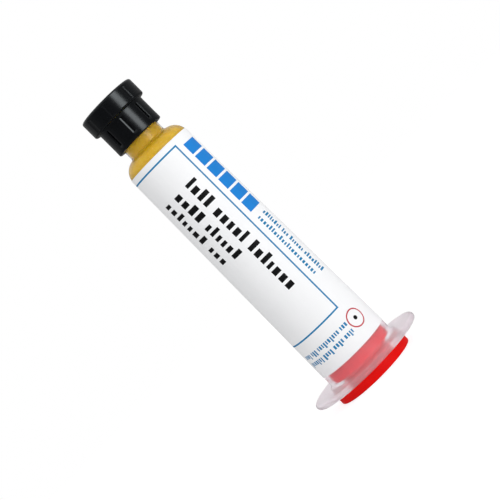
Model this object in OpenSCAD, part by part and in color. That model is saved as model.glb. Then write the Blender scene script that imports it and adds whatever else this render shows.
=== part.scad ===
// Flux syringe of ten cubic centimetres, standing on its end cap with the tip up.
// The origin is the centre of the end cap's outer face, and +Z runs along the bore to the tip.
// The label's middle faces -Y, and the gap between its edges faces +Y.

/* [Barrel] */
// Bore that the piston runs in
bore_d = 15.9; // [14:0.1:17]
// Wall of the barrel at its shoulder
tip_wall = 0.95; // [0.8:0.05:1.4]
// Wall of the barrel at its flange, thicker for the mould's draft
flange_wall = 1.95; // [1.5:0.05:2.5]
// Length of the tube, from the flange's rear face to the shoulder
tube_len = 69.9; // [66:0.1:90]
// Soft corner where the shoulder meets the neck
neck_fillet = 0.6; // [0.3:0.1:1]
// Lead-in at the open end of the bore
mouth_chamfer = 0.3; // [0.1:0.1:0.6]

/* [Flange] */
// Diameter of the round finger flange
flange_d = 32.2; // [28:0.1:38]
// Thickness of the flange
flange_t = 1.6; // [1.2:0.1:2.4]
// Fillet between the flange and the barrel
flange_fillet = 1.0; // [0.4:0.1:1.6]
// Rounding of the flange's rim
flange_edge = 0.5; // [0.1:0.05:0.55]

/* [Luer neck] */
// Outside diameter of the neck
neck_d = 10.6; // [10.2:0.1:11.4]
// Length of the neck above the shoulder
neck_len = 11.0; // [10.4:0.1:13]
// Bore of the neck's socket, which a needle's lugs turn into
socket_d = 8.0; // [7.8:0.05:8.4]
// Depth of the socket
socket_depth = 5.9; // [5.6:0.1:7.2]
// Chamfer on the rim of the neck
neck_chamfer = 0.3; // [0.1:0.05:0.4]
// Diameter of the nozzle at its tip
nozzle_d = 4.0; // [3.8:0.05:4.3]
// Growth of the nozzle's diameter for each millimetre down from its tip
nozzle_taper = 0.06; // [0.04:0.01:0.08]
// How far the nozzle stands out past the neck
nozzle_reach = 1.2; // [0.6:0.1:2]
// Bore of the nozzle
nozzle_bore = 2.2; // [1.6:0.1:2.6]
// Chamfer on the nozzle's tip
nozzle_chamfer = 0.2; // [0.1:0.05:0.3]
// Wide passage inside the neck, below the nozzle
throat_d = 8.4; // [7.4:0.1:8.8]
// Height of the cone that narrows the passage to the nozzle's bore
throat_cone = 1.3; // [0.8:0.1:2]
// Plastic between that cone and the socket's floor
throat_wall = 1.0; // [0.8:0.1:1.4]

/* [Tip cap] */
// Diameter of the cap's head
head_d = 15.7; // [15:0.1:18]
// Height of the head
head_len = 4.9; // [4:0.1:6]
// Rounding of the head's edges
head_edge = 0.5; // [0.1:0.05:0.8]
// Diameter of the cap's grip below the head
grip_d = 13.4; // [13.2:0.1:14.6]
// Chamfer on the grip's lower rim
grip_chamfer = 0.3; // [0.1:0.05:0.5]
// Length of neck left in view below the cap
neck_show = 2.7; // [2:0.05:4]
// Clearance between the cap's skirt and the neck, on the radius
skirt_gap = 0.3; // [0.15:0.05:0.5]
// Thickness of the cap's top over the nozzle
top_wall = 1.8; // [1.2:0.1:2.4]
// Space left over the nozzle's tip
tip_gap = 0.5; // [0.3:0.1:1]
// Space left over the neck's rim
rim_gap = 0.8; // [0.4:0.1:1.2]
// Diameter of the stem that closes the nozzle
stem_d = 6.2; // [5.8:0.1:6.6]
// Space between the stem's end and the socket's floor
stem_gap = 1.0; // [0.6:0.1:1.6]
// Clearance between the stem's taper and the nozzle, on the radius
taper_gap = 0.05; // [0.03:0.01:0.1]
// Height of the two lugs on the stem
lug_h = 1.2; // [0.8:0.1:1.6]
// Width of each lug
lug_w = 2.6; // [1.6:0.1:3.4]
// Clearance between the lugs and the socket, on the radius
lug_gap = 0.2; // [0.1:0.05:0.4]

/* [Cap grip] */
// Number of slots round the grip
slot_count = 8; // [4:1:12]
// Width of each slot over its slanted lips
slot_w = 1.2; // [0.9:0.1:1.6]
// Depth of each slot
slot_depth = 0.6; // [0.3:0.1:0.8]
// Length of each slot
slot_len = 4.6; // [3:0.1:5]
// Distance from the head down to the slots
slot_drop = 0.8; // [0.4:0.1:1.2]
// Turn of the slots from the middle of the label
slot_turn = 2; // [0:1:40]
// Width of the shallow grooves on the head over their slanted lips
groove_w = 1.3; // [0.9:0.1:1.6]
// Depth of the shallow grooves
groove_depth = 0.15; // [0.1:0.05:0.4]
// Turn of the grooves from the slots
groove_turn = -9; // [-22:1:22]
// Distance from the top down to the grooves
groove_drop = 0.9; // [0.5:0.1:2]
// Width of the slanted lip along each slot and groove
lip_w = 0.3; // [0.1:0.05:0.35]
// Depth of the slots' slanted lip
lip_fall = 0.13; // [0.05:0.01:0.2]

/* [End cap] */
// Diameter of the end cap's disc
disc_d = 21.9; // [20.5:0.1:25]
// Thickness of the disc
disc_t = 2.95; // [2.2:0.05:4]
// Rounding of the disc's outer edge
disc_edge = 0.4; // [0.2:0.05:0.8]
// Gap between the disc and the flange
seat_gap = 0.05; // [0.02:0.01:0.2]
// How far the plug reaches into the bore
plug_len = 6.5; // [5:0.1:9]
// Clearance between the plug's bead and the bore, on the radius
plug_gap = 0.05; // [0.03:0.01:0.1]
// Height of the bead over the plug's side
bead_h = 0.15; // [0.05:0.05:0.3]
// Wall of the hollow plug
plug_wall = 1.2; // [0.9:0.1:1.8]
// Thickness of the disc behind the hollow
disc_web = 1.5; // [1:0.1:2]

/* [Piston] */
// Gap between the plug and the piston
piston_gap = 0.5; // [0.3:0.1:20]
// Length of the piston's side, lip to lip
piston_side = 11.9; // [9:0.1:15]
// Rise of the piston's rounded face
piston_crown = 2.1; // [1:0.1:3]
// Clearance between the lips and the bore, on the radius
piston_clear = 0.05; // [0.03:0.01:0.1]
// Height of each wiping lip
lip_h = 1.4; // [0.8:0.1:2]
// Depth of the waist between the lips
waist_depth = 0.6; // [0.3:0.05:1]
// Wall of the piston round its hollow
piston_wall = 1.2; // [1:0.1:2]
// Thickness of the piston's face
piston_web = 1.6; // [1:0.1:2.4]

/* [Flux] */
// Gap left between the flux and what holds it
flux_gap = 0.05; // [0.03:0.01:0.1]

/* [Label] */
// Distance from the flange's rear face to the label
label_lift = 5.05; // [3.4:0.05:8]
// Length of the label along the barrel
label_len = 65.2; // [40:0.1:66]
// Width of the label round the barrel
label_w = 50.8; // [40:0.1:54]
// Thickness of the paper
label_t = 0.1; // [0.08:0.01:0.15]
// Glue line between the paper and the barrel
label_gap = 0.02; // [0.01:0.01:0.05]

/* [Hidden] */
$fn = 96;
corner_steps = 4;
dome_steps = 10;
cut_over = 1;

bore_r = bore_d / 2;
tip_r = bore_r + tip_wall;
root_r = bore_r + flange_wall;
flange_r = flange_d / 2;
neck_r = neck_d / 2;
socket_r = socket_d / 2;
nozzle_r = nozzle_d / 2;
passage_r = nozzle_bore / 2;
throat_r = throat_d / 2;
shoulder_r = tip_r - neck_r;
inner_shoulder_r = bore_r - neck_r;

flange_z = disc_t + seat_gap;
flange_top = flange_z + flange_t;
shoulder_z = flange_z + tube_len;
neck_z = shoulder_z + shoulder_r;
neck_top = neck_z + neck_len;
socket_z = neck_top - socket_depth;
nozzle_top = neck_top + nozzle_reach;
cone_top = socket_z - throat_wall;
cone_base = cone_top - throat_cone;
throat_z = shoulder_z + inner_shoulder_r;

head_r = head_d / 2;
grip_r = grip_d / 2;
skirt_r = neck_r + skirt_gap;
stem_r = stem_d / 2;
lug_r = socket_r - lug_gap;
cap_top = nozzle_top + tip_gap + top_wall;
head_z = cap_top - head_len;
rim_z = neck_z + neck_show;
stem_z = socket_z + stem_gap;

disc_r = disc_d / 2;
bead_r = bore_r - plug_gap;
plug_r = bead_r - bead_h;
plug_top = flange_z + plug_len;
hollow_r = plug_r - plug_wall;
bead_z = (flange_z + plug_top) / 2;

piston_r = bore_r - piston_clear;
waist_r = piston_r - waist_depth;
cup_r = waist_r - piston_wall;
piston_z = plug_top + piston_gap;
crown_z = piston_z + piston_side;

label_z = flange_z + label_lift;
label_top = label_z + label_len;

// Outside radius of the tapered tube at a height
function tube_r(z) = tip_r + (root_r - tip_r) * (shoulder_z - z) / tube_len;

// Radius of the nozzle at a height
function cone_r(z) = nozzle_r + nozzle_taper / 2 * (nozzle_top - z);

// Points along an arc, with its centre, radius and first and last angle
function arc(x, z, r, first, last, steps) =
    [for (i = [0:steps]) let (a = first + (last - first) * i / steps) [x + r * cos(a), z + r * sin(a)]];

// Points along a shallow crown that falls from the axis to a side
function crown(r, z, rise, steps) =
    let (bend = (r * r + rise * rise) / (2 * rise), half = asin(r / bend))
    arc(0, z + rise - bend, bend, 90, 90 - half, steps);

// Angle at which the shoulder runs into the fillet below the neck
fillet_rise = sqrt(pow(shoulder_r + neck_fillet, 2) - pow(neck_fillet, 2));
fillet_angle = atan2(fillet_rise, neck_fillet);
fillet_z = flange_top + flange_fillet;

// One moulding: flange, tapered tube, domed shoulder, neck with its socket, and nozzle
module barrel() {
    flange_rim = concat(
        arc(flange_r - flange_edge, flange_z + flange_edge, flange_edge, -90, 0, corner_steps),
        arc(flange_r - flange_edge, flange_top - flange_edge, flange_edge, 0, 90, corner_steps));
    root = arc(tube_r(fillet_z) + flange_fillet, fillet_z, flange_fillet, 270, 180, corner_steps);
    shoulder = concat(
        arc(neck_r, shoulder_z, shoulder_r, 0, fillet_angle, dome_steps),
        arc(neck_r + neck_fillet, shoulder_z + fillet_rise, neck_fillet,
            180 + fillet_angle, 180, corner_steps));
    neck = [
        [neck_r, neck_top - neck_chamfer],
        [neck_r - neck_chamfer, neck_top],
        [socket_r + neck_chamfer, neck_top],
        [socket_r, neck_top - neck_chamfer],
        [socket_r, socket_z]];
    nozzle = [
        [cone_r(socket_z), socket_z],
        [cone_r(nozzle_top - nozzle_chamfer), nozzle_top - nozzle_chamfer],
        [nozzle_r - nozzle_chamfer, nozzle_top],
        [passage_r, nozzle_top],
        [passage_r, cone_top]];
    inside = concat(
        [[throat_r, cone_base], [throat_r, throat_z]],
        arc(neck_r, shoulder_z, inner_shoulder_r, 90, 0, dome_steps),
        [[bore_r, flange_z + mouth_chamfer], [bore_r + mouth_chamfer, flange_z]]);
    color("whitesmoke", 0.5)
        rotate_extrude()
            polygon(concat(flange_rim, root, shoulder, neck, nozzle, inside));
}

// Cuts evenly round a side of the cap, whose slanted lips fall to their walls or their floor
module side_cuts(side_r, depth, fall, width, bottom, top, turn) {
    floor_half = width / 2 - lip_w;
    spread = lip_w * (fall + cut_over) / fall;
    wall = depth > fall ? [[side_r - depth, floor_half]] : [];
    lip = [[side_r - fall, floor_half], [side_r + cut_over, floor_half + spread]];
    section = concat(wall, lip);
    mirrored = [for (i = [len(section) - 1:-1:0]) [section[i][0], -section[i][1]]];
    for (i = [0:slot_count - 1])
        rotate([0, 0, turn - 90 + i * 360 / slot_count])
            translate([0, 0, bottom])
                linear_extrude(height = top - bottom)
                    polygon(concat(section, mirrored));
}

// Two lugs at the end of the stem, which turn into the neck's thread
module lugs() {
    translate([0, 0, stem_z])
        intersection() {
            cylinder(r = lug_r, h = lug_h);
            translate([-lug_r, -lug_w / 2, 0])
                cube([2 * lug_r, lug_w, lug_h]);
        }
}

// Taper inside the stem that closes on the nozzle
module stem_taper() {
    low = stem_z - cut_over;
    high = nozzle_top + tip_gap;
    translate([0, 0, low])
        cylinder(r1 = cone_r(low) + taper_gap, r2 = cone_r(high) + taper_gap, h = high - low);
}

// One moulding: head, slotted grip that covers the neck, and a stem that plugs the nozzle
module tip_cap() {
    skirt = [
        [skirt_r, rim_z],
        [grip_r - grip_chamfer, rim_z],
        [grip_r, rim_z + grip_chamfer],
        [grip_r, head_z]];
    head = concat(
        arc(head_r - head_edge, head_z + head_edge, head_edge, -90, 0, corner_steps),
        arc(head_r - head_edge, cap_top - head_edge, head_edge, 0, 90, corner_steps));
    inside = [
        [0, cap_top],
        [0, stem_z],
        [stem_r, stem_z],
        [stem_r, neck_top + rim_gap],
        [skirt_r, neck_top + rim_gap]];
    color([0.1, 0.1, 0.11])
        difference() {
            union() {
                rotate_extrude()
                    polygon(concat(skirt, head, inside));
                lugs();
            }
            stem_taper();
            side_cuts(grip_r, slot_depth, lip_fall, slot_w, head_z - slot_drop - slot_len,
                head_z - slot_drop, slot_turn);
            side_cuts(head_r, groove_depth, groove_depth, groove_w, head_z - cut_over,
                cap_top - groove_drop, slot_turn + groove_turn);
        }
}

// One moulding: a disc that covers the bore's mouth, and a hollow plug with a bead
module end_cap() {
    disc = concat(
        [[0, 0]],
        arc(disc_r - disc_edge, disc_edge, disc_edge, -90, 0, corner_steps),
        [[disc_r, disc_t], [plug_r, disc_t]]);
    bead = [
        [plug_r, bead_z - 2 * bead_h],
        [bead_r, bead_z],
        [plug_r, bead_z + 2 * bead_h]];
    plug = [
        [plug_r, plug_top - bead_h * 4],
        [plug_r - bead_h * 2, plug_top],
        [hollow_r, plug_top],
        [hollow_r, disc_web],
        [0, disc_web]];
    color("red")
        rotate_extrude()
            polygon(concat(disc, bead, plug));
}

// One moulding: a crowned face, two wiping lips and a hollow back
module piston() {
    outside = [
        [piston_r, crown_z - lip_h],
        [waist_r, crown_z - 2 * lip_h],
        [waist_r, piston_z + 2 * lip_h],
        [piston_r, piston_z + lip_h],
        [piston_r, piston_z]];
    hollow = [
        [cup_r, piston_z],
        [cup_r, crown_z - piston_web],
        [0, crown_z + piston_crown - piston_web]];
    color("ivory")
        rotate_extrude()
            polygon(concat(crown(piston_r, crown_z, piston_crown, dome_steps), outside, hollow));
}

// The charge of flux, from the piston's face to the end of the nozzle
module flux_paste() {
    bottom = crown(bore_r - flux_gap, crown_z + 2 * flux_gap, piston_crown, dome_steps);
    shoulder = arc(neck_r, shoulder_z, inner_shoulder_r - flux_gap, 0, 90, dome_steps);
    passage = [
        [throat_r - flux_gap, throat_z - flux_gap],
        [throat_r - flux_gap, cone_base],
        [passage_r - flux_gap, cone_top],
        [passage_r - flux_gap, nozzle_top - tip_gap],
        [0, nozzle_top - tip_gap]];
    color("goldenrod")
        rotate_extrude()
            polygon(concat(bottom, shoulder, passage));
}

// Half of the bare gap between the label's edges at a height
function bare_half(z) = (2 * PI * tube_r(z) - label_w) / 2;

// One paper label that follows the taper, with its two edges apart at the back
module label() {
    color("white")
        difference() {
            rotate_extrude()
                polygon([
                    [tube_r(label_z) + label_gap, label_z],
                    [tube_r(label_z) + label_gap + label_t, label_z],
                    [tube_r(label_top) + label_gap + label_t, label_top],
                    [tube_r(label_top) + label_gap, label_top]]);
            translate([0, root_r + label_gap + label_t, 0])
                rotate([90, 0, 0])
                    linear_extrude(height = root_r)
                        polygon([
                            [-bare_half(label_z), label_z - cut_over],
                            [bare_half(label_z), label_z - cut_over],
                            [bare_half(label_top), label_top + cut_over],
                            [-bare_half(label_top), label_top + cut_over]]);
        }
}

barrel();
tip_cap();
end_cap();
piston();
flux_paste();
label();
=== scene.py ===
"""Looks of a ten cubic centimetre flux syringe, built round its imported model.

The syringe stands on its red end cap. The bore runs up +Z, and the label's middle faces -Y.
Each operator makes one piece of the syringe, and the last one sets up the floor, lights and camera.
"""

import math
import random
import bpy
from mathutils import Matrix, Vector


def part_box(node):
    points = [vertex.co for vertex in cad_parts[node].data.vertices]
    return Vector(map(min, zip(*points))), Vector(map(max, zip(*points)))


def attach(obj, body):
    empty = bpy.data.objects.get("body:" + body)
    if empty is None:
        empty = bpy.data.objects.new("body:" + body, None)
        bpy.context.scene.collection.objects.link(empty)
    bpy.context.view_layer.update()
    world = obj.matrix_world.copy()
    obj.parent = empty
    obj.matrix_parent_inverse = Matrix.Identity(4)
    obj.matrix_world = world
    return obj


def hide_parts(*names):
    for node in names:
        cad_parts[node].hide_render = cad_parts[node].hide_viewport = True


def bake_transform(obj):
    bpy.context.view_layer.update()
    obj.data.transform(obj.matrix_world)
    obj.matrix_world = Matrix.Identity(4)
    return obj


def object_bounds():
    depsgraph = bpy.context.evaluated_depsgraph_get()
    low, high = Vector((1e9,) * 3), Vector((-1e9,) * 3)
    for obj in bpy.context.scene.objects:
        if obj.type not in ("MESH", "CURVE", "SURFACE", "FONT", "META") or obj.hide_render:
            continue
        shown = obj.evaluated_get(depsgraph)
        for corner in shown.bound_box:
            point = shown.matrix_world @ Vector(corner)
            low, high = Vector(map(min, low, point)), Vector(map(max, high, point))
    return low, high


bl_info = {
    "name": "Flux Syringe",
    "version": (1, 0, 0),
    "blender": (4, 5, 0),
    "location": "View3D > Sidebar > Syringe",
    "description": "Builds the pieces, finishes and stage of a flux syringe",
    "category": "Object",
}

from types import SimpleNamespace

import bmesh
import bpy
from bpy.props import FloatProperty, FloatVectorProperty, IntProperty, PointerProperty
from mathutils import Euler, Quaternion, Vector

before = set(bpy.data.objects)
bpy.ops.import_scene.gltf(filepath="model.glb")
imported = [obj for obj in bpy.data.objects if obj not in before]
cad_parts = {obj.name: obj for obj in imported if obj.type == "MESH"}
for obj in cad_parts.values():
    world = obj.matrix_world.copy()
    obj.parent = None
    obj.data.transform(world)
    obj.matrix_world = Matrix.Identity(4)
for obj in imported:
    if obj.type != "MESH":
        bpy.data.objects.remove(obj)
cad_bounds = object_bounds()

MM = 0.001

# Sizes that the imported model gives
BARREL_LOW, BARREL_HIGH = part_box("barrel")
TIP_LOW, TIP_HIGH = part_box("tip_cap")
END_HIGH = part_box("end_cap")[1]
PISTON_LOW, PISTON_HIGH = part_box("piston")
FLUX_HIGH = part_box("flux_paste")[1]
LABEL_LOW, LABEL_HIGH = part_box("label")

# Small roundings of moulded edges
FINE_EDGE = 0.15 * MM
PLAIN_EDGE = 0.2 * MM
SOFT_EDGE = 0.3 * MM
# Share of its reach that a rounding keeps where it would touch its neighbour
NEARLY = 0.999

WHITE = (1.0, 1.0, 1.0, 1.0)


# Driving sizes and colours, with the fields that a user would change

def length(name, value, description):
    """A size in millimetres, kept in metres."""
    return FloatProperty(
        name=name, description=description, default=value * MM, min=0.0, unit="LENGTH")


def number(name, value, description):
    """A plain number, such as a strength or a turn in degrees."""
    return FloatProperty(name=name, description=description, default=value)


def share(name, value, description):
    """A number between nothing and all."""
    return FloatProperty(name=name, description=description, default=value, min=0.0, max=1.0)


def colour(name, value, description):
    """A colour in linear light."""
    return FloatVectorProperty(
        name=name, description=description, default=(*value, 1.0), size=4, subtype="COLOR",
        min=0.0, max=1.0)


class SyringeBarrel(bpy.types.PropertyGroup):
    """Sizes and finish of the translucent barrel."""

    bore: length("Bore", 7.95, "Radius of the bore")
    tip: length("Tip", 8.9, "Outside radius where the tube meets the shoulder")
    root: length("Root", 9.9, "Outside radius where the tube meets the flange")
    flange_t: length("Flange thickness", 1.6, "Thickness of the finger flange")
    flange_fillet: length("Flange fillet", 1.0, "Fillet between the flange and the tube")
    flange_edge: length("Flange edge", 0.7, "Rounding of the flange's rim")
    mouth: length("Mouth", 0.3, "Lead-in at the open end of the bore")
    tube: length("Tube", 69.9, "Length from the flange's rear face to the shoulder")
    neck: length("Neck", 5.3, "Outside radius of the neck")
    neck_len: length("Neck length", 11.0, "Length of the neck above the shoulder")
    neck_fillet: length("Neck fillet", 0.6, "Fillet between the shoulder and the neck")
    neck_edge: length("Neck edge", 0.3, "Rounding of the neck's rim")
    socket: length("Socket", 4.0, "Radius of the neck's socket")
    socket_depth: length("Socket depth", 5.9, "Depth of the socket below the neck's rim")
    nozzle: length("Nozzle", 2.0, "Radius of the nozzle at its tip")
    nozzle_slope: number("Nozzle slope", 0.03, "Growth of the nozzle's radius down its length")
    passage: length("Passage", 1.1, "Radius of the bore through the nozzle")
    throat: length("Throat", 4.2, "Radius of the wide passage inside the neck")
    throat_round: length("Throat rounding", 0.9, "Rounding where the wide passage opens")
    throat_wall: length("Throat wall", 1.0, "Plastic between the socket's floor and the passage")
    throat_cone: length("Throat cone", 1.3, "Height of the cone that narrows the passage")
    rib: length("Thread rib", 0.16, "Height of the socket's thread ribs")
    rib_width: length("Thread rib width", 0.7, "Width of a thread rib at its foot")
    rib_lead: length("Thread lead", 5.0, "Climb of the thread in one turn")
    tint: colour("Tint", (0.99, 0.975, 0.98), "Colour of the natural plastic")
    haze: colour("Haze", (0.97, 0.94, 0.955), "Colour where the plastic is milkier")
    clear: share("Clear", 1.0, "Share of light that passes the thin wall")
    milky: colour("Milky", (0.955, 0.895, 0.94), "Colour of the flange and the wall beside it")
    flange_clear: share("Flange clear", 0.86, "Share of light that passes the flange")
    wall_clear: share("Wall clear", 0.88, "Share of light that passes the wall beside the flange")


class SyringeFlux(bpy.types.PropertyGroup):
    """Finish of the amber flux."""

    wetting: length("Wetting", 0.03, "How far the flux reaches into the wall that it wets")
    amber: colour("Amber", (0.765, 0.48, 0.02), "Main colour of the flux")
    deep: colour("Deep amber", (0.705, 0.43, 0.005), "Colour in the thick streaks")
    bubble: colour("Bubble", (0.8, 0.54, 0.08), "Colour of the small bubbles")


class SyringePiston(bpy.types.PropertyGroup):
    """Sizes and finish of the piston."""

    crown: length("Crown", 2.1, "Rise of the rounded face")
    lip: length("Lip", 1.4, "Height of each wiping lip")
    waist: length("Waist", 0.6, "Depth of the waist between the lips")
    wall: length("Wall", 1.2, "Wall round the hollow")
    web: length("Web", 1.6, "Thickness of the face")
    tint: colour("Tint", (0.82, 0.8, 0.74), "Colour of the piston")


class SyringeTipCap(bpy.types.PropertyGroup):
    """Sizes and finish of the black tip cap."""

    head_len: length("Head length", 4.9, "Height of the head")
    head_edge: length("Head edge", 0.5, "Rounding of the head's edges")
    grip: length("Grip", 6.7, "Radius of the grip")
    grip_edge: length("Grip edge", 0.3, "Rounding of the grip's rim")
    skirt: length("Skirt", 5.6, "Inside radius of the skirt")
    rim_gap: length("Rim gap", 0.8, "Space over the neck's rim")
    tip_gap: length("Tip gap", 0.5, "Space over the nozzle's tip")
    stem: length("Stem", 3.1, "Radius of the stem that closes the nozzle")
    stem_gap: length("Stem gap", 1.0, "Space between the stem and the socket's floor")
    taper_gap: length("Taper gap", 0.05, "Clearance between the stem's taper and the nozzle")
    lug: length("Lug", 3.8, "Radius over the stem's lugs")
    lug_h: length("Lug height", 1.2, "Height of each lug")
    slots: IntProperty(name="Slots", description="Slots round the grip", default=8, min=4, max=16)
    slot_w: length("Slot width", 1.2, "Width of each slot over its lips")
    slot_depth: length("Slot depth", 0.6, "Depth of each slot")
    slot_len: length("Slot length", 4.6, "Length of each slot")
    slot_drop: length("Slot drop", 0.8, "Distance from the head down to the slots")
    slot_turn: number("Slot turn", -1.0, "Turn from the label's middle, in degrees")
    groove_w: length("Groove width", 1.3, "Width of the head's shallow grooves over their lips")
    groove_depth: length("Groove depth", 0.08, "Depth of the head's shallow grooves")
    groove_drop: length("Groove drop", 0.9, "Distance from the top down to the grooves")
    groove_turn: number("Groove turn", -6.0, "Turn from the slots, in degrees")
    lip_w: length("Lip width", 0.3, "Width of the slanted lip along each slot and groove")
    lip_fall: length("Lip fall", 0.11, "Depth of the slots' slanted lip")
    black: colour("Black", (0.0022, 0.0025, 0.0034), "Colour of the plastic")
    # Lighter along the rounded edges: partly wear, partly a painted sheen where the edges catch the
    # light
    wear_and_sheen: colour("Edge", (0.02, 0.021, 0.024), "Colour along the rubbed edges")


class SyringeEndCap(bpy.types.PropertyGroup):
    """Sizes and finish of the red end cap."""

    disc_t: length("Disc thickness", 2.95, "Thickness of the disc")
    disc_edge: length("Disc edge", 0.4, "Rounding of the disc's outer edge")
    plug: length("Plug", 7.75, "Radius of the plug")
    bead: length("Bead", 0.22, "Height of the band that presses into the bore's wall")
    plug_wall: length("Plug wall", 1.2, "Wall of the hollow plug")
    web: length("Web", 1.5, "Thickness of the disc behind the hollow")
    red: colour("Red", (0.88, 0.004, 0.002), "Colour of the plastic")
    deep: colour("Deep red", (0.76, 0.002, 0.0015), "Colour of the flow marks")
    # Painted light: the plug is the same plastic as the disc, painted a brighter red where it sits in
    # the bore, for the light that the milky wall scatters onto it
    lit: colour("Lit red", (1.0, 0.02, 0.04), "Colour of the plug, lit through the milky wall")
    lit_deep: colour("Deep lit red", (0.94, 0.015, 0.03), "Colour of its flow marks")


class SyringeLabel(bpy.types.PropertyGroup):
    """Sizes, print and finish of the paper label."""

    width: length("Width", 50.8, "Width round the barrel")
    paper_t: length("Paper", 0.1, "Thickness of the paper")
    line: length("Line", 0.42, "Width of the printed frame's lines")
    paper: colour("Paper", (0.895, 0.9, 0.912), "Colour of the coated paper")
    blue: colour("Blue", (0.008, 0.225, 0.68), "Colour of the blue heading")
    fine: colour("Fine blue", (0.008, 0.215, 0.46), "Colour of the blue lines and small rows")
    black: colour("Black", (0.004, 0.004, 0.005), "Colour of the black print")
    red: colour("Red", (0.56, 0.06, 0.08), "Colour of the red print")


class SyringeStage(bpy.types.PropertyGroup):
    """Camera, lights and floor."""

    eye: FloatVectorProperty(
        name="Eye", description="Where the camera stands", size=3, subtype="XYZ",
        default=(-10.22 * MM, -363.8 * MM, 55.26 * MM))
    pitch: number("Pitch", 2.10, "Tilt below the horizon, in degrees")
    yaw: number("Yaw", 1.503, "Turn towards +X, in degrees")
    roll: number("Roll", -45.07, "Turn about the line of sight, in degrees")
    lens: number("Lens", 110.19, "Focal length on a 36 mm sensor")
    ambient: number("Ambient", 0.8, "Strength of the even light from all round")
    front: number("Front", 0.02, "Strength of what gloss mirrors behind the camera")
    behind: number("Behind", 0.25, "Strength of what gloss mirrors at the back")
    above: number("Above", 0.5, "Strength that the mirrored surroundings gain overhead")


GROUPS = {
    "syringe_barrel": SyringeBarrel,
    "syringe_flux": SyringeFlux,
    "syringe_piston": SyringePiston,
    "syringe_tip_cap": SyringeTipCap,
    "syringe_end_cap": SyringeEndCap,
    "syringe_label": SyringeLabel,
    "syringe_stage": SyringeStage,
}


# Heights and radii that several pieces share

def tube_radius(barrel, z):
    """Outside radius of the tapered tube at a height."""
    low = BARREL_LOW.z
    return barrel.root + (barrel.tip - barrel.root) * (z - low) / barrel.tube


def nozzle_radius(barrel, z):
    """Radius of the nozzle's taper at a height."""
    return barrel.nozzle + barrel.nozzle_slope * (BARREL_HIGH.z - z)


def neck_levels(barrel):
    """Heights of the shoulder, the neck's foot and rim, the socket's floor and the passage."""
    shoulder = BARREL_LOW.z + barrel.tube
    foot = shoulder + barrel.tip - barrel.neck
    rim = foot + barrel.neck_len
    floor = rim - barrel.socket_depth
    cone_top = floor - barrel.throat_wall
    return SimpleNamespace(
        shoulder=shoulder, foot=foot, rim=rim, floor=floor, cone_top=cone_top,
        cone_base=cone_top - barrel.throat_cone, throat=shoulder + barrel.bore - barrel.neck)


def crown_reach(radius, rise):
    """Reach of the rounding that crowns a flat end of a radius by a rise."""
    bend = (radius ** 2 + rise ** 2) / (2 * rise)
    return bend * math.tan(math.asin(radius / bend) / 2)


# Modelling helpers

def turn_section(corners, steps):
    """Turn a half section round the axis, from corners of radius, height, rounding and its steps.

    A section that starts off the axis is closed, and any other ends on the axis.
    """
    mesh = bmesh.new()
    points = [mesh.verts.new((corner[0], 0.0, corner[1])) for corner in corners]
    for first, second in zip(points, points[1:]):
        mesh.edges.new((first, second))
    if corners[0][0] > 0:
        mesh.edges.new((points[-1], points[0]))
    for point, corner in zip(points, corners):
        if len(corner) > 2:
            bmesh.ops.bevel(
                mesh, geom=[point], offset=corner[2], segments=corner[3], profile=0.5,
                affect="VERTICES", material=-1)
    bmesh.ops.spin(
        mesh, geom=mesh.verts[:] + mesh.edges[:], cent=(0, 0, 0), axis=(0, 0, 1), dvec=(0, 0, 0),
        angle=math.tau, steps=steps, use_merge=True)
    bmesh.ops.remove_doubles(mesh, verts=mesh.verts[:], dist=0.5e-6)
    bmesh.ops.recalc_face_normals(mesh, faces=mesh.faces[:])
    return mesh


def pick(result, kind):
    """The items of one kind among what an operator made."""
    return [item for item in result["geom"] if isinstance(item, kind)]


def raise_patch(mesh, patch, change):
    """Extrude a patch of faces out from the axis, or in, and give back its new points and faces."""
    result = bmesh.ops.extrude_face_region(mesh, geom=patch)
    verts = pick(result, bmesh.types.BMVert)
    for vert in verts:
        reach = math.hypot(vert.co.x, vert.co.y)
        vert.co.x *= (reach + change) / reach
        vert.co.y *= (reach + change) / reach
    bmesh.ops.delete(mesh, geom=[face for face in patch if face.is_valid], context="FACES_ONLY")
    return verts, pick(result, bmesh.types.BMFace)


def cut_patch(mesh, patch, sides):
    """Cut a patch of faces along flat sides, by point and direction, and give back its inside."""
    for point, outwards in sides:
        edges = {edge for face in patch for edge in face.edges}
        verts = {vert for face in patch for vert in face.verts}
        result = bmesh.ops.bisect_plane(
            mesh, geom=[*verts, *edges, *patch], dist=1e-7, plane_co=point, plane_no=outwards)
        patch = [face for face in pick(result, bmesh.types.BMFace)
                 if (face.calc_center_median() - point).dot(outwards) < 0]
    return patch


def add_object(name, data):
    """Put a new object into the scene."""
    made = bpy.data.objects.new(name, data)
    bpy.context.scene.collection.objects.link(made)
    return made


def make_object(mesh, name, materials):
    """Turn a bmesh into an object of the scene, with its place in its mesh."""
    data = bpy.data.meshes.new(name)
    mesh.to_mesh(data)
    mesh.free()
    for material in materials:
        data.materials.append(material)
    return add_object(name, data)


def make_piece(mesh, name, materials):
    """Turn a bmesh into a smooth shaded piece whose hard edges stay sharp."""
    piece = make_object(mesh, name, materials)
    piece.data.shade_smooth()
    piece.data.set_sharp_from_angle(angle=math.radians(40.0))
    weighted = piece.modifiers.new("Weighted normals", "WEIGHTED_NORMAL")
    weighted.keep_sharp = True
    return piece


# Shader helpers

def new_material(name):
    """A material with its shader, and the tree that feeds it."""
    material = bpy.data.materials.new(name)
    material.use_nodes = True
    tree = material.node_tree
    return material, tree, tree.nodes["Principled BSDF"]


def feed(tree, node, inputs):
    """Give a node's sockets their values, or the outputs that feed them."""
    for socket, value in inputs.items():
        if isinstance(value, bpy.types.NodeSocket):
            tree.links.new(value, node.inputs[socket])
        else:
            node.inputs[socket].default_value = value


def place(tree, kind, inputs=None, **settings):
    """Add a node with its settings, and feed its sockets."""
    node = tree.nodes.new(kind)
    for key, value in settings.items():
        setattr(node, key, value)
    feed(tree, node, inputs or {})
    return node


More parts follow.
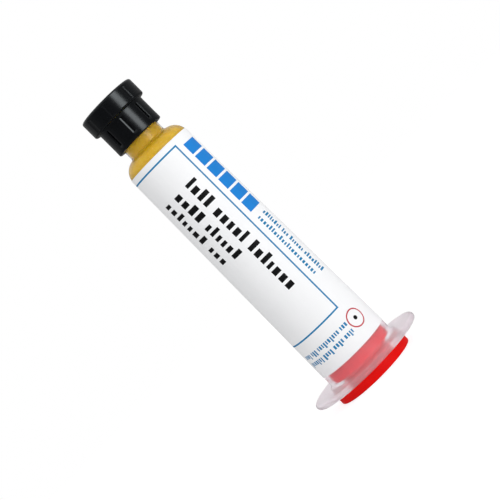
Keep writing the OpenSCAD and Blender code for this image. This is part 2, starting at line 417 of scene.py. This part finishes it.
def own_place(tree):
    """The place on the piece itself."""
    return place(tree, "ShaderNodeTexCoord").outputs["Object"]


def blend_colours(tree, factor, first, second):
    """Mix two colours by a factor that changes over the surface."""
    return place(
        tree, "ShaderNodeMix", {0: factor, 6: first, 7: second}, data_type="RGBA").outputs[2]


def spread_value(tree, value, low, high, across=(0.0, 1.0)):
    """Map a value that changes over the surface from one range onto another."""
    return place(tree, "ShaderNodeMapRange", {
        "Value": value, "From Min": across[0], "From Max": across[1],
        "To Min": low, "To Max": high}).outputs["Result"]


def join_values(tree, operation, first, second, clamp=False):
    """Join two values by a sum, a product or the like."""
    return place(
        tree, "ShaderNodeMath", {0: first, 1: second}, operation=operation,
        use_clamp=clamp).outputs["Value"]


def mix_shaders(tree, factor, first, second):
    """Mix two shaders by a factor."""
    return place(tree, "ShaderNodeMixShader", {0: factor, 1: first, 2: second}).outputs["Shader"]


def relief(tree, height, strength, depth=0.02 * MM):
    """The normal of a surface with a fine relief."""
    return place(tree, "ShaderNodeBump", {
        "Strength": strength, "Distance": depth, "Height": height}).outputs["Normal"]


def darken(tone, keep):
    """A darker tone of a colour."""
    return [part * keep for part in tone[:3]] + [1.0]


def trace_sight(tree):
    """The kinds of ray, and a mask of what is seen straight or through clear plastic."""
    ray = place(tree, "ShaderNodeLightPath").outputs
    return ray, join_values(tree, "MAXIMUM", ray["Is Camera Ray"], ray["Is Transmission Ray"])


def start_group(name, inputs, outputs):
    """An empty shader group with named value inputs and outputs."""
    group = bpy.data.node_groups.new(name, "ShaderNodeTree")
    for socket, value in inputs.items():
        made = group.interface.new_socket(socket, in_out="INPUT", socket_type="NodeSocketFloat")
        made.default_value = value
    for socket in outputs:
        group.interface.new_socket(socket, in_out="OUTPUT", socket_type="NodeSocketFloat")
    return group, group.nodes.new("NodeGroupInput").outputs, group.nodes.new("NodeGroupOutput")


def noise_group(name, noises):
    """Shared group of noises, each with its scale, squash along Z, detail and distortion."""
    found = bpy.data.node_groups.get(name)
    if found:
        return found
    group, given, result = start_group(
        name, {noise + " scale": values[0] for noise, values in noises.items()}, noises)
    here = own_place(group)
    for noise, (_, squash, detail, distortion) in noises.items():
        stretch = place(group, "ShaderNodeMapping", {"Vector": here, "Scale": (1.0, 1.0, squash)})
        pattern = place(group, "ShaderNodeTexNoise", {
            "Vector": stretch.outputs["Vector"], "Scale": given[noise + " scale"],
            "Detail": detail, "Distortion": distortion})
        feed(group, result, {noise: pattern.outputs["Fac"]})
    return group


def mould_texture():
    """Shared group: the fine grain and slow flow marks of moulded plastic."""
    return noise_group("Mould texture", {
        "Grain": (4000.0, 1.0, 3.0, 0.0),
        "Flow": (120.0, 0.35, 2.0, 0.6),
    })


def paper_texture():
    """Shared group: fibres and slow clouds of coated paper, bare or inked."""
    return noise_group("Paper texture", {
        "Fibre": (6000.0, 0.25, 4.0, 0.0),
        "Cloud": (260.0, 1.0, 2.0, 0.0),
    })


def edge_wear_and_sheen():
    """Shared group: a mask along the rounded edges, for wear where hands and mould rub and for a
    painted sheen that lightens them.
    """
    found = bpy.data.node_groups.get("Edge wear and painted sheen")
    if found:
        return found
    group, given, result = start_group("Edge wear and painted sheen", {"Reach": 0.0003, "Scale": 900.0}, ("Mask",))
    soft = place(group, "ShaderNodeBevel", {"Radius": given["Reach"]}, samples=4)
    here = place(group, "ShaderNodeNewGeometry")
    facing = place(
        group, "ShaderNodeVectorMath", {0: soft.outputs["Normal"], 1: here.outputs["Normal"]},
        operation="DOT_PRODUCT")
    patch = place(group, "ShaderNodeTexNoise", {"Vector": own_place(group), "Scale": given["Scale"]})
    bent = spread_value(group, facing.outputs["Value"], 0.0, 1.0, across=(0.995, 0.9))
    feed(group, result, {"Mask": join_values(group, "MULTIPLY", bent, patch.outputs["Fac"])})
    return group


# Finishes

def moulded_plastic(name, grain_scale, flow_scale):
    """A material for moulded plastic, with its grain and its flow marks."""
    material, tree, shader = new_material(name)
    marks = place(
        tree, "ShaderNodeGroup", {"Grain scale": grain_scale, "Flow scale": flow_scale},
        node_tree=mould_texture()).outputs
    return material, tree, shader, marks["Grain"], marks["Flow"]


def natural_plastic(name, clear, pale, deep, bend, rough):
    """Translucent natural polypropylene, a little milky, with faint flow marks."""
    material, tree, shader, grain, flow = moulded_plastic(name, grain_scale=2600.0, flow_scale=160.0)
    feed(tree, shader, {
        "Base Color": blend_colours(tree, flow, pale, deep),
        "Roughness": spread_value(tree, flow, *rough),
        "Transmission Weight": clear,
        "IOR": bend,
        "Coat Weight": 0.7,
        "Coat Roughness": 0.42,
        "Normal": relief(tree, grain, 0.08),
    })
    return material


def amber_gel(flux):
    """Amber flux with slow streaks and small bubbles."""
    material, tree, shader = new_material("Amber gel")
    here = own_place(tree)
    streaks = place(tree, "ShaderNodeTexNoise", {
        "Vector": here, "Scale": 240.0, "Detail": 3.0, "Distortion": 1.4}).outputs["Fac"]
    bubbles = place(
        tree, "ShaderNodeTexVoronoi", {"Vector": here, "Scale": 900.0}).outputs["Distance"]
    thick = spread_value(tree, streaks, 0.0, 1.0, across=(0.4, 0.75))
    spots = spread_value(tree, bubbles, 1.0, 0.0, across=(0.08, 0.2))
    body = blend_colours(tree, thick, flux.amber, flux.deep)
    feed(tree, shader, {
        "Base Color": blend_colours(tree, spots, body, flux.bubble),
        "Roughness": spread_value(tree, streaks, 0.18, 0.34),
        "Subsurface Weight": 0.2,
        "Subsurface Radius": (1.0, 0.6, 0.08),
        "Subsurface Scale": 1.6 * MM,
        "Specular IOR Level": 0.1,
    })
    return material


def black_plastic(cap):
    """Black moulded plastic with a satin sheen, and edges painted lighter, partly as wear and partly
    as a painted sheen.
    """
    material, tree, shader, grain, flow = moulded_plastic(
        "Black plastic", grain_scale=5200.0, flow_scale=260.0)
    # The edges are painted lighter: partly wear, partly a painted sheen
    rub = place(tree, "ShaderNodeGroup", {"Reach": 0.2 * MM, "Scale": 1400.0}, node_tree=edge_wear_and_sheen())
    feed(tree, shader, {
        "Base Color": blend_colours(tree, rub.outputs["Mask"], cap.black, cap.wear_and_sheen),
        "Roughness": spread_value(tree, flow, 0.18, 0.27),
        "Specular Tint": (0.9, 0.97, 1.0, 1.0),
        "Normal": relief(tree, grain, 0.18),
    })
    return material


def red_plastic(name, tone, deep):
    """Red polyethylene with a soft gloss and faint flow marks."""
    material, tree, shader, grain, flow = moulded_plastic(name, grain_scale=3600.0, flow_scale=200.0)
    feed(tree, shader, {
        "Base Color": blend_colours(tree, flow, tone, deep),
        "Roughness": spread_value(tree, flow, 0.28, 0.42),
        "Specular IOR Level": 0.12,
        "Subsurface Weight": 0.2,
        "Subsurface Radius": (1.0, 0.05, 0.04),
        "Subsurface Scale": 0.8 * MM,
        "Normal": relief(tree, grain, 0.1),
    })
    return material


def wiper_plastic(piston):
    """Natural polyethylene of the piston, satin."""
    material, tree, shader, grain, flow = moulded_plastic(
        "Wiper plastic", grain_scale=3000.0, flow_scale=180.0)
    feed(tree, shader, {
        "Base Color": blend_colours(tree, flow, piston.tint, darken(piston.tint, 0.88)),
        "Roughness": spread_value(tree, flow, 0.35, 0.5),
        "Subsurface Weight": 0.3,
        "Subsurface Scale": 1.0 * MM,
        "Normal": relief(tree, grain, 0.1),
    })
    return material


def printed_paper(name, tone, fade, rough, lucent=0.0):
    """Coated paper, bare or under one colour of ink, with the same fibres everywhere."""
    material, tree, shader = new_material(name)
    paper = place(tree, "ShaderNodeGroup", node_tree=paper_texture()).outputs
    feed(tree, shader, {
        "Base Color": blend_colours(tree, paper["Cloud"], tone, darken(tone, fade)),
        "Roughness": spread_value(tree, paper["Fibre"], *rough),
        "Specular IOR Level": 0.2,
        "Subsurface Weight": lucent,
        "Subsurface Radius": (1.0, 1.0, 1.0),
        "Subsurface Scale": 0.5 * MM,
        "Normal": relief(tree, paper["Fibre"], 0.12, 0.015 * MM),
    })
    return material


# Pieces

class SYRINGE_OT_barrel(bpy.types.Operator):
    """Mould the barrel with its flange, shoulder, threaded neck and nozzle"""

    bl_idname = "syringe.barrel"
    bl_label = "Barrel"

    FLANGE, WALL = 1, 2

    def execute(self, context):
        size = context.scene.syringe_barrel
        at = neck_levels(size)
        low, flange = BARREL_LOW.z, BARREL_HIGH.x
        flange_top = low + size.flange_t
        milky_top = LABEL_LOW.z + 1.0 * MM
        dome = at.foot - at.shoulder
        turn = math.acos(size.neck_fillet / (dome + size.neck_fillet))
        dome_reach = dome * math.tan(turn / 2)
        fillet_reach = size.neck_fillet * math.tan(turn / 2)
        meet = (dome_reach + fillet_reach) * math.cos(turn)
        mesh = turn_section([
            (size.bore + size.mouth, low),
            (flange, low, size.flange_edge, 5),
            (flange, flange_top, size.flange_edge, 5),
            (tube_radius(size, flange_top), flange_top, size.flange_fillet, 6),
            (tube_radius(size, milky_top), milky_top),
            (size.tip, at.shoulder),
            (size.tip, at.shoulder + dome_reach, dome_reach, 14),
            (size.neck, at.shoulder + dome_reach + meet, fillet_reach, 6),
            (size.neck, at.rim, size.neck_edge, 4),
            (size.socket, at.rim, size.neck_edge, 4),
            (size.socket, at.floor),
            (nozzle_radius(size, at.floor), at.floor),
            (size.nozzle, BARREL_HIGH.z, PLAIN_EDGE, 4),
            (size.passage, BARREL_HIGH.z, PLAIN_EDGE / 2, 3),
            (size.passage, at.cone_top),
            (size.throat, at.cone_base),
            (size.throat, at.throat, size.throat_round, 5),
            (size.bore, at.throat, size.bore - size.neck, 10),
            (size.bore, low + size.mouth),
        ], steps=192)
        for face in mesh.faces:
            middle = face.calc_center_median()
            if middle.z < milky_top and middle.xy.length > size.bore + size.mouth:
                on_flange = middle.z < flange_top + size.flange_fillet / 2
                face.material_index = self.FLANGE if on_flange else self.WALL
        self.add_thread(mesh, size, at)
        milky = dict(pale=size.milky, deep=darken(size.milky, 0.96), bend=1.1, rough=(0.25, 0.35))
        barrel = make_piece(mesh, "barrel_wall", [
            natural_plastic(
                "Natural plastic", size.clear, size.tint, size.haze, bend=1.2, rough=(0.14, 0.22)),
            natural_plastic("Milky flange", size.flange_clear, **milky),
            natural_plastic("Milky wall", size.wall_clear, **milky),
        ])
        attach(barrel, "syringe")
        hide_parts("barrel")
        return {"FINISHED"}

    def add_thread(self, mesh, size, at):
        """Two thread ribs that wind up the socket's wall."""
        start = at.floor + 2.4 * MM
        end = at.rim - 0.9 * MM
        turns = (end - start) / size.rib_lead
        steps = 72
        foot, crest = size.socket + 0.05 * MM, size.socket - size.rib
        half = size.rib_width / 2
        half_crest = half * 0.4
        ring = [(foot, -half), (crest, -half_crest), (crest, half_crest), (foot, half)]
        for side in (1, -1):
            older = set(mesh.faces)
            verts = [mesh.verts.new((side * radius, 0.0, start + rise)) for radius, rise in ring]
            face = mesh.faces.new(verts)
            bmesh.ops.spin(
                mesh, geom=[face] + list(face.edges) + verts, cent=(0, 0, 0), axis=(0, 0, 1),
                dvec=(0, 0, turns * size.rib_lead / steps), angle=math.tau * turns, steps=steps)
            bmesh.ops.recalc_face_normals(
                mesh, faces=[face for face in mesh.faces if face not in older])


class SYRINGE_OT_flux(bpy.types.Operator):
    """Fill the barrel with amber flux that wets the wall and meets the piston's crown"""

    bl_idname = "syringe.flux"
    bl_label = "Flux"

    def execute(self, context):
        size = context.scene.syringe_barrel
        flux = context.scene.syringe_flux
        piston = context.scene.syringe_piston
        at = neck_levels(size)
        wet = flux.wetting
        side = size.bore + wet
        clear_of_piston = 0.1 * MM
        crown_z = PISTON_HIGH.z - piston.crown + clear_of_piston
        reach = crown_reach(side, piston.crown)
        mesh = turn_section([
            (0.0, crown_z + piston.crown),
            (reach, crown_z + piston.crown, reach * NEARLY, 10),
            (side, crown_z),
            (side, at.throat + wet, size.bore - size.neck + wet, 10),
            (size.throat + wet, at.throat + wet, size.throat_round, 5),
            (size.throat + wet, at.cone_base),
            (size.passage + wet, at.cone_top),
            (size.passage + wet, FLUX_HIGH.z),
            (0.0, FLUX_HIGH.z),
        ], steps=160)
        paste = make_piece(mesh, "flux_gel", [amber_gel(flux)])
        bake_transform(paste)
        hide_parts("flux_paste")
        return {"FINISHED"}


class SYRINGE_OT_piston(bpy.types.Operator):
    """Mould the wiper piston with its crown, two lips and hollow back"""

    bl_idname = "syringe.piston"
    bl_label = "Piston"

    def execute(self, context):
        size = context.scene.syringe_piston
        radius, low, high = PISTON_HIGH.x, PISTON_LOW.z, PISTON_HIGH.z
        crown_z = high - size.crown
        reach = crown_reach(radius, size.crown)
        waist = radius - size.waist
        waist_round, hollow_round = 0.4 * MM, 0.8 * MM
        hollow = waist - size.wall
        mesh = turn_section([
            (0.0, high),
            (reach, high, reach * NEARLY, 12),
            (radius, crown_z, FINE_EDGE, 3),
            (radius, crown_z - size.lip, PLAIN_EDGE, 3),
            (waist, crown_z - 2 * size.lip, waist_round, 4),
            (waist, low + 2 * size.lip, waist_round, 4),
            (radius, low + size.lip, PLAIN_EDGE, 3),
            (radius, low, FINE_EDGE, 3),
            (hollow, low, PLAIN_EDGE, 3),
            (hollow, crown_z - size.web, hollow_round, 5),
            (0.0, high - size.web),
        ], steps=160)
        piston = make_piece(mesh, "wiper_piston", [wiper_plastic(size)])
        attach(piston, "piston")
        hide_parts("piston")
        return {"FINISHED"}


class SYRINGE_OT_tip_cap(bpy.types.Operator):
    """Mould the black tip cap with its slotted grip, grooved head and stem"""

    bl_idname = "syringe.tip_cap"
    bl_label = "Tip cap"

    def execute(self, context):
        size = context.scene.syringe_tip_cap
        barrel = context.scene.syringe_barrel
        at = neck_levels(barrel)
        head, top, low = TIP_HIGH.x, TIP_HIGH.z, TIP_LOW.z
        head_z = top - size.head_len
        lower_edge, under_head = 0.98 * size.head_edge, 0.12 * MM
        slot_top = head_z - size.slot_drop
        slot_low = slot_top - size.slot_len
        stem_z = at.floor + size.stem_gap
        pocket = at.rim + size.rim_gap
        taper_top = BARREL_HIGH.z + size.tip_gap
        mesh = turn_section([
            (0.0, top),
            (head, top, size.head_edge, 5),
            (head, top - size.groove_drop),
            (head, head_z + size.head_edge),
            (head, head_z, lower_edge, 5),
            (size.grip, head_z, under_head, 3),
            (size.grip, slot_top),
            (size.grip, slot_low),
            (size.grip, low, size.grip_edge, 4),
            (size.skirt, low, FINE_EDGE, 3),
            (size.skirt, pocket, SOFT_EDGE, 3),
            (size.stem, pocket, SOFT_EDGE, 3),
            (size.stem, stem_z + size.lug_h),
            (size.stem, stem_z),
            (nozzle_radius(barrel, stem_z) + size.taper_gap, stem_z),
            (nozzle_radius(barrel, taper_top) + size.taper_gap, taper_top),
            (0.0, taper_top),
        ], steps=144)
        creases = self.sink_round(
            mesh, size, size.slot_turn, size.slot_w, size.grip, slot_low, slot_top,
            size.lip_fall, size.slot_depth)
        creases += self.sink_round(
            mesh, size, size.slot_turn + size.groove_turn, size.groove_w, head,
            head_z + size.head_edge, top - size.groove_drop, size.groove_depth, size.groove_depth)
        self.raise_lugs(mesh, size, stem_z)
        bmesh.ops.bevel(
            mesh, geom=[edge for edge in creases if edge.is_valid], offset=0.04 * MM, segments=2,
            profile=0.5, affect="EDGES", material=-1, clamp_overlap=True)
        cap = make_piece(mesh, "cap_black", [black_plastic(size)])
        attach(cap, "tip_cap")
        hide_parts("tip_cap")
        return {"FINISHED"}

    def sink_round(self, mesh, size, turn, width, radius, low, high, fall, depth):
        """Sink evenly spaced slots with slanted lips into the side, and give back their rims."""
        half = width / 2
        outer = 0.95 * radius
        rims = []
        for index in range(size.slots):
            centre = math.radians(turn + index * 360.0 / size.slots)
            outwards = Vector((math.sin(centre), -math.cos(centre), 0.0))
            across = Vector((math.cos(centre), math.sin(centre), 0.0))
            near = [face for face in mesh.faces if low < face.calc_center_median().z < high
                    and face.calc_center_median().dot(outwards) > outer]
            patch = cut_patch(mesh, near, [(across * half, across), (across * -half, -across)])
            inside = set(patch)
            rims += [edge for face in patch for edge in face.edges
                     if any(other not in inside for other in edge.link_faces)]
            verts, patch = raise_patch(mesh, patch, -fall)
            for vert in verts:
                vert.co -= across * vert.co.dot(across) * size.lip_w / half
            if depth > fall:
                raise_patch(mesh, patch, fall - depth)
        return rims

    def raise_lugs(self, mesh, size, stem_z):
        """Raise the two lugs at the stem's end."""
        slack = 0.05 * MM
        within = math.cos(math.radians(25.0))
        for side in (1, -1):
            faces = []
            for face in mesh.faces:
                middle = face.calc_center_median()
                radius = middle.xy.length
                if (stem_z < middle.z < stem_z + size.lug_h and abs(radius - size.stem) < slack
                        and side * middle.x > within * radius):
                    faces.append(face)
            raise_patch(mesh, faces, size.lug - size.stem)


class SYRINGE_OT_end_cap(bpy.types.Operator):
    """Mould the red end cap: a disc and a hollow plug with a band that presses on the bore"""

    bl_idname = "syringe.end_cap"
    bl_label = "End cap"

    PAINTED_LIGHT_PLUG = 1

    def execute(self, context):
        size = context.scene.syringe_end_cap
        disc, top = END_HIGH.x, END_HIGH.z
        press_z = BARREL_LOW.z + 1.2 * MM
        band = size.plug + size.bead
        slope = 2 * size.bead
        hollow = size.plug - size.plug_wall
        hollow_round = 0.5 * MM
        mesh = turn_section([
            (0.0, 0.0),
            (disc, 0.0, size.disc_edge, 6),
            (disc, size.disc_t, FINE_EDGE, 3),
            (size.plug, size.disc_t),
            (size.plug, press_z),
            (band, press_z + slope, FINE_EDGE, 4),
            (band, top - slope, FINE_EDGE, 4),
            (size.plug, top, slope, 4),
            (hollow, top, PLAIN_EDGE, 3),
            (hollow, size.web, hollow_round, 4),
            (0.0, size.web),
        ], steps=192)
        # The plug's outer faces inside the bore take the brighter red copy of the disc's plastic:
        # painted light, not a different plastic
        inside = hollow + 0.1 * MM
        for face in mesh.faces:
            middle = face.calc_center_median()
            if middle.z > size.disc_t and middle.xy.length > inside:
                face.material_index = self.PAINTED_LIGHT_PLUG
        cap = make_piece(mesh, "cap_red", [
            red_plastic("Red plastic", size.red, size.deep),
            red_plastic("Red plug with painted light", size.lit, size.lit_deep),
        ])
        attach(cap, "end_cap")
        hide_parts("end_cap")
        return {"FINISHED"}


class SYRINGE_OT_label(bpy.types.Operator):
    """Print the paper label flat and wrap it round the barrel"""

    bl_idname = "syringe.label"
    bl_label = "Label"

    PAPER, BLUE, FINE, BLACK, RED, BACK = range(6)

    # The layout is in millimetres, round the barrel from the label's middle and up from the floor.
    # Frame round the black rows: left, right, low and high
    FRAME = (-22.1, 4.3, 18.2, 71.75)
    # Heading: number of blocks, left, right, top of the first, height and pitch
    HEADING = (6, 5.85, 11.1, 70.5, 3.2, 3.8)
    # Lines of small blocks: ink, blocks of each word, start, base line, height, block, gap and seed
    ROWS = (
        (BLACK, (4, 5, 7), 63.4, -1.1, 3.05, 1.2, 0.75, 3),
        (BLACK, (4, 6), 63.1, -5.15, 2.7, 1.2, 0.75, 5),
        (BLACK, (7, 3), 63.1, -9.15, 2.7, 1.2, 0.75, 8),
        (FINE, (8, 3, 6, 8), 46.3, 8.6, 1.9, 0.45, 0.3, 13),
        (FINE, (22,), 46.2, 6.0, 1.5, 0.5, 0.36, 21),
    )
    # Lines that run round the barrel near the flange
    COLUMNS = (
        (FINE, (3, 10, 3, 4), 2.8, 14.9, 1.5, 0.45, 0.28, 34),
        (FINE, (4, 4, 4, 8), 2.8, 12.7, 1.5, 0.45, 0.28, 55),
    )
    # Ring with a dot: its place, then the ink, radius and sides of each round
    RING_AT = (5.6, 13.7)
    RING = ((RED, 2.45, 24), (PAPER, 2.1, 24), (BLACK, 0.55, 16))

    def execute(self, context):
        size = context.scene.syringe_label
        barrel = context.scene.syringe_barrel
        mesh = bmesh.new()
        bmesh.ops.create_grid(mesh, x_segments=72, y_segments=6, size=0.5)
        height = LABEL_HIGH.z - LABEL_LOW.z
        bmesh.ops.scale(mesh, verts=mesh.verts[:], vec=(size.width, height, 1.0))
        bmesh.ops.translate(mesh, verts=mesh.verts[:], vec=(0.0, LABEL_LOW.z + height / 2, 0.0))
        self.print_frame(mesh, size.line / MM)
        self.print_heading(mesh)
        for row in self.ROWS:
            self.print_line(mesh, *row, around=False)
        for column in self.COLUMNS:
            self.print_line(mesh, *column, around=True)
        self.print_ring(mesh)
        glue = 0.02 * MM
        for vert in mesh.verts:
            across, z = vert.co.x, vert.co.y
            radius = tube_radius(barrel, z)
            turn = across / radius
            radius += glue + size.paper_t
            vert.co = (radius * math.sin(turn), -radius * math.cos(turn), z)
        bmesh.ops.recalc_face_normals(mesh, faces=mesh.faces[:])
        front = min(mesh.faces, key=lambda face: face.calc_center_median().y)
        if front.normal.y > 0:
            bmesh.ops.reverse_faces(mesh, faces=mesh.faces[:])
        bmesh.ops.solidify(mesh, geom=mesh.faces[:], thickness=size.paper_t)
        mesh.normal_update()
        for face in mesh.faces:
            outwards = face.calc_center_median().xy.normalized()
            if face.normal.xy.dot(outwards) < 0.5:
                face.material_index = self.BACK
        ink_rough = (0.42, 0.54)
        label = make_piece(mesh, "paper_label", [
            printed_paper("Coated paper", size.paper, fade=0.985, rough=(0.5, 0.62)),
            printed_paper("Blue print", size.blue, fade=0.88, rough=ink_rough),
            printed_paper("Fine blue print", size.fine, fade=0.88, rough=ink_rough),
            printed_paper("Black print", size.black, fade=0.8, rough=ink_rough),
            printed_paper("Red print", size.red, fade=0.88, rough=ink_rough),
            printed_paper("Bare back", size.paper, fade=0.97, rough=(0.6, 0.75), lucent=1.0),
        ])
        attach(label, "syringe")
        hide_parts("label")
        return {"FINISHED"}

    def print_shape(self, mesh, ink, sides, low, high):
        """Cut a convex shape into the flat sheet and ink the faces inside it."""
        patch = [face for face in mesh.faces if all(
            min(vert.co[axis] for vert in face.verts) < high[axis]
            and max(vert.co[axis] for vert in face.verts) > low[axis] for axis in (0, 1))]
        flat = [(Vector((*point, 0.0)), Vector((*outwards, 0.0))) for point, outwards in sides]
        for face in cut_patch(mesh, patch, flat):
            face.material_index = ink

    def print_block(self, mesh, ink, left, right, low, high):
        """Print a block between two places round the barrel and two heights, in millimetres."""
        left, right, low, high = (value * MM for value in (left, right, low, high))
        sides = [((left, low), (-1, 0)), ((right, low), (1, 0)),
                 ((left, low), (0, -1)), ((left, high), (0, 1))]
        self.print_shape(mesh, ink, sides, (left, low), (right, high))

    def print_frame(self, mesh, line):
        """The blue frame round the black rows."""
        left, right, low, high = self.FRAME
        for block in (
                (left, right, low, low + line),
                (left, right, high - line, high),
                (left, left + line, low + line, high - line),
                (right - line, right, low + line, high - line)):
            self.print_block(mesh, self.FINE, *block)

    def print_heading(self, mesh):
        """A heading of plain blue blocks beside the frame."""
        blocks, left, right, first, height, pitch = self.HEADING
        for index in range(blocks):
            top = first - index * pitch
            self.print_block(mesh, self.BLUE, left, right, top - height, top)

    def print_line(self, mesh, ink, words, start, base, height, block, gap, seed, around):
        """A line of small blocks in word-like groups, along the barrel or around it."""
        draw = random.Random(seed)
        edge = start
        for word in words:
            for _ in range(word):
                width = block * draw.choice((0.8, 1.0, 1.2))
                rise = height * draw.choice((0.66, 0.66, 1.0))
                if around:
                    self.print_block(mesh, ink, edge - width, edge, base - rise, base)
                else:
                    self.print_block(mesh, ink, base, base + rise, edge - width, edge)
                edge -= width + gap
            edge -= block

    def print_ring(self, mesh):
        """A plain red ring with a black dot, where the print has a small sign."""
        across, up = (value * MM for value in self.RING_AT)
        for ink, radius, count in self.RING:
            radius *= MM
            reach = radius * math.cos(math.pi / count)
            turns = [math.tau * index / count for index in range(count)]
            sides = [((across + reach * math.cos(turn), up + reach * math.sin(turn)),
                      (math.cos(turn), math.sin(turn))) for turn in turns]
            self.print_shape(
                mesh, ink, sides, (across - radius, up - radius), (across + radius, up + radius))


# Stage

class SYRINGE_OT_stage(bpy.types.Operator):
    """Set up the pale floor, the soft lights and the camera"""

    bl_idname = "syringe.stage"
    bl_label = "Stage"

    def execute(self, context):
        stage = context.scene.syringe_stage
        context.scene.view_settings.view_transform = "Standard"
        self.lay_floor(stage)
        self.light_world(context, stage)
        self.hang_lamp("Key", bearing_deg=36.5, rise_deg=6.0, far=0.5, wide=0.2, tall=0.42, power=1.1)
        self.set_camera(context, stage)
        return {"FINISHED"}

    def lay_floor(self, stage):
        """A round white floor that keeps the shadow and fades into the background."""
        mesh = bmesh.new()
        bmesh.ops.create_circle(mesh, cap_ends=True, segments=96, radius=2.0)
        material, tree, shader = new_material("White floor")
        feed(tree, shader, {"Base Color": (0.9, 0.9, 0.9, 1.0), "Roughness": 0.8})
        away = place(
            tree, "ShaderNodeVectorMath", {0: own_place(tree)}, operation="LENGTH").outputs["Value"]
        # How far out the floor fades, and its share of plain white and its strength before that
        fade, near_plain, near_white = (0.1, 0.6), 0.55, 1.35
        ray, seen = trace_sight(tree)
        plain = join_values(tree, "MULTIPLY", seen, spread_value(tree, away, near_plain, 1.0, fade))
        white = place(tree, "ShaderNodeEmission", {
            "Strength": spread_value(tree, away, near_white, 1.0, fade)}).outputs["Emission"]
        dark = place(tree, "ShaderNodeEmission", {"Strength": stage.front}).outputs["Emission"]
        mirrored = join_values(
            tree, "SUBTRACT", ray["Is Glossy Ray"], ray["Is Transmission Ray"], clamp=True)
        pale = mix_shaders(tree, plain, shader.outputs["BSDF"], white)
        most_dark = 0.85
        surface = mix_shaders(tree, spread_value(tree, mirrored, 0.0, most_dark), pale, dark)
        feed(tree, tree.nodes["Material Output"], {"Surface": surface})
        floor = make_object(mesh, "floor", [material])

    def light_world(self, context, stage):
        """White for what the camera and the clear plastic see, and softer for all else."""
        world = bpy.data.worlds.new("Studio")
        context.scene.world = world
        world.use_nodes = True
        tree = world.node_tree
        around = place(tree, "ShaderNodeTexCoord").outputs["Generated"]
        towards = place(tree, "ShaderNodeSeparateXYZ", {"Vector": around}).outputs
        room = join_values(
            tree, "ADD",
            spread_value(tree, towards["Y"], stage.front, stage.behind, across=(-0.6, 1.0)),
            spread_value(tree, towards["Z"], 0.0, stage.above, across=(0.1, 0.45)))
        even = tree.nodes["Background"]
        feed(tree, even, {"Color": WHITE, "Strength": stage.ambient})
        mirrored = place(tree, "ShaderNodeBackground", {"Color": WHITE, "Strength": room})
        white = place(tree, "ShaderNodeBackground", {"Color": WHITE})
        ray, seen = trace_sight(tree)
        soft = mix_shaders(
            tree, ray["Is Glossy Ray"], even.outputs["Background"], mirrored.outputs["Background"])
        surface = mix_shaders(tree, seen, soft, white.outputs["Background"])
        feed(tree, tree.nodes["World Output"], {"Surface": surface})

    def hang_lamp(self, name, bearing_deg, rise_deg, far, wide, tall, power):
        """Hang a soft rectangular lamp round the syringe, aimed at its middle."""
        aim = Vector((0.0, 0.0, (cad_bounds[0].z + cad_bounds[1].z) / 2))
        turn, rise = math.radians(bearing_deg), math.radians(rise_deg)
        away = Vector((
            math.sin(turn) * math.cos(rise), -math.cos(turn) * math.cos(rise), math.sin(rise)))
        data = bpy.data.lights.new(name, "AREA")
        data.shape = "RECTANGLE"
        data.size = wide
        data.size_y = tall
        data.energy = power
        lamp = add_object(name, data)
        lamp.location = aim + away * far
        lamp.rotation_mode = "QUATERNION"
        lamp.rotation_quaternion = away.to_track_quat("Z", "Y")

    def set_camera(self, context, stage):
        """The camera of the photograph, which looks up the syringe's length at a slant."""
        data = bpy.data.cameras.new("Camera")
        data.sensor_width = 36.0
        data.lens = stage.lens
        camera = add_object("Camera", data)
        camera.location = stage.eye
        level = Euler((math.radians(90.0 - stage.pitch), 0.0, math.radians(-stage.yaw)))
        camera.rotation_mode = "QUATERNION"
        camera.rotation_quaternion = (
            level.to_quaternion() @ Quaternion((0, 0, 1), math.radians(stage.roll)))
        context.scene.camera = camera


OPERATORS = (
    SYRINGE_OT_barrel,
    SYRINGE_OT_flux,
    SYRINGE_OT_piston,
    SYRINGE_OT_tip_cap,
    SYRINGE_OT_end_cap,
    SYRINGE_OT_label,
    SYRINGE_OT_stage,
)


class SYRINGE_PT_panel(bpy.types.Panel):
    """Buttons and sizes of the syringe's pieces"""

    bl_label = "Flux Syringe"
    bl_idname = "SYRINGE_PT_panel"
    bl_space_type = "VIEW_3D"
    bl_region_type = "UI"
    bl_category = "Syringe"

    def draw(self, context):
        for operator, (name, group) in zip(OPERATORS, GROUPS.items()):
            box = self.layout.box()
            box.operator(operator.bl_idname)
            for field in group.__annotations__:
                box.prop(getattr(context.scene, name), field)


def register():
    """Add the property groups, operators and panel."""
    for name, group in GROUPS.items():
        bpy.utils.register_class(group)
        setattr(bpy.types.Scene, name, PointerProperty(type=group))
    for operator in OPERATORS:
        bpy.utils.register_class(operator)
    bpy.utils.register_class(SYRINGE_PT_panel)


def unregister():
    """Remove what register added."""
    bpy.utils.unregister_class(SYRINGE_PT_panel)
    for operator in reversed(OPERATORS):
        bpy.utils.unregister_class(operator)
    for name, group in reversed(list(GROUPS.items())):
        delattr(bpy.types.Scene, name)
        bpy.utils.unregister_class(group)


def main():
    """Build every piece and the stage."""
    register()
    bpy.ops.syringe.barrel()
    bpy.ops.syringe.flux()
    bpy.ops.syringe.piston()
    bpy.ops.syringe.tip_cap()
    bpy.ops.syringe.end_cap()
    bpy.ops.syringe.label()
    bpy.ops.syringe.stage()


if __name__ == "__main__":
    main()
